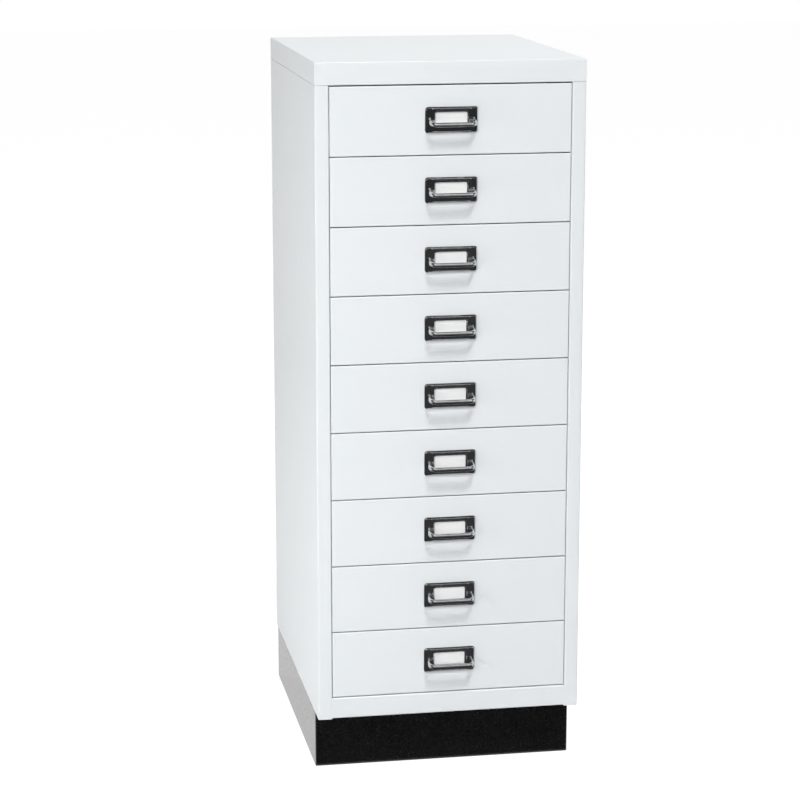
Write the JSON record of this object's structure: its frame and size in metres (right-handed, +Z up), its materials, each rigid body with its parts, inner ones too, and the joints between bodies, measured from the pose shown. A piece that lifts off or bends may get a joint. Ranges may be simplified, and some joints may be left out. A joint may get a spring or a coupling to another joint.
{
  "type": "drawer cabinet",
  "caption": "Tall narrow white steel cabinet with a stack of equal shallow drawers on a recessed black plinth, each drawer with a chromed label holder and bow pull.",
  "frame": {"origin": "on the floor under the middle of the whole cabinet, handles included", "axes": "+Z up, -Y out of the drawer fronts, +X to the right as seen from the front"},
  "size_m": [0.349, 0.454, 0.94],
  "materials": {
    "white_paint": "satin powder coat",
    "black_paint": "semi-gloss powder coat",
    "zinc_steel": "zinc-plated sheet",
    "chrome_plate": "bright chrome",
    "card": "plain card",
    "nylon": "natural nylon"
  },
  "bodies": {
    "cabinet": {"top_cap": "white_paint", "side_panel_left": "white_paint", "side_panel_right": "white_paint", "back_panel": "white_paint", "base_pan": "white_paint", "top_rail": "white_paint", "uprights_left": "zinc_steel", "uprights_right": "zinc_steel", "runners_left": "zinc_steel", "runners_right": "zinc_steel", "plinth_front": "black_paint", "plinth_side_left": "black_paint", "plinth_side_right": "black_paint", "plinth_back": "black_paint"},
    "drawer_1": {"drawer_1_tray": "white_paint", "drawer_1_front": "white_paint", "drawer_1_handle": "chrome_plate", "drawer_1_label": "card", "drawer_1_glides": "nylon"},
    "drawer_2": {"drawer_2_tray": "white_paint", "drawer_2_front": "white_paint", "drawer_2_handle": "chrome_plate", "drawer_2_label": "card", "drawer_2_glides": "nylon"},
    "drawer_3": {"drawer_3_tray": "white_paint", "drawer_3_front": "white_paint", "drawer_3_handle": "chrome_plate", "drawer_3_label": "card", "drawer_3_glides": "nylon"},
    "drawer_4": {"drawer_4_tray": "white_paint", "drawer_4_front": "white_paint", "drawer_4_handle": "chrome_plate", "drawer_4_label": "card", "drawer_4_glides": "nylon"},
    "drawer_5": {"drawer_5_tray": "white_paint", "drawer_5_front": "white_paint", "drawer_5_handle": "chrome_plate", "drawer_5_label": "card", "drawer_5_glides": "nylon"},
    "drawer_6": {"drawer_6_tray": "white_paint", "drawer_6_front": "white_paint", "drawer_6_handle": "chrome_plate", "drawer_6_label": "card", "drawer_6_glides": "nylon"},
    "drawer_7": {"drawer_7_tray": "white_paint", "drawer_7_front": "white_paint", "drawer_7_handle": "chrome_plate", "drawer_7_label": "card", "drawer_7_glides": "nylon"},
    "drawer_8": {"drawer_8_tray": "white_paint", "drawer_8_front": "white_paint", "drawer_8_handle": "chrome_plate", "drawer_8_label": "card", "drawer_8_glides": "nylon"},
    "drawer_9": {"drawer_9_tray": "white_paint", "drawer_9_front": "white_paint", "drawer_9_handle": "chrome_plate", "drawer_9_label": "card", "drawer_9_glides": "nylon"}
  },
  "joints": [
    {"name": "drawer_1_slide", "type": "slide", "parent": "cabinet", "child": "drawer_1", "axis": [0, -1, 0], "range_m": [0, 0.32]},
    {"name": "drawer_2_slide", "type": "slide", "parent": "cabinet", "child": "drawer_2", "axis": [0, -1, 0], "range_m": [0, 0.32]},
    {"name": "drawer_3_slide", "type": "slide", "parent": "cabinet", "child": "drawer_3", "axis": [0, -1, 0], "range_m": [0, 0.32]},
    {"name": "drawer_4_slide", "type": "slide", "parent": "cabinet", "child": "drawer_4", "axis": [0, -1, 0], "range_m": [0, 0.32]},
    {"name": "drawer_5_slide", "type": "slide", "parent": "cabinet", "child": "drawer_5", "axis": [0, -1, 0], "range_m": [0, 0.32]},
    {"name": "drawer_6_slide", "type": "slide", "parent": "cabinet", "child": "drawer_6", "axis": [0, -1, 0], "range_m": [0, 0.32]},
    {"name": "drawer_7_slide", "type": "slide", "parent": "cabinet", "child": "drawer_7", "axis": [0, -1, 0], "range_m": [0, 0.32]},
    {"name": "drawer_8_slide", "type": "slide", "parent": "cabinet", "child": "drawer_8", "axis": [0, -1, 0], "range_m": [0, 0.32]},
    {"name": "drawer_9_slide", "type": "slide", "parent": "cabinet", "child": "drawer_9", "axis": [0, -1, 0], "range_m": [0, 0.32]}
  ]
}
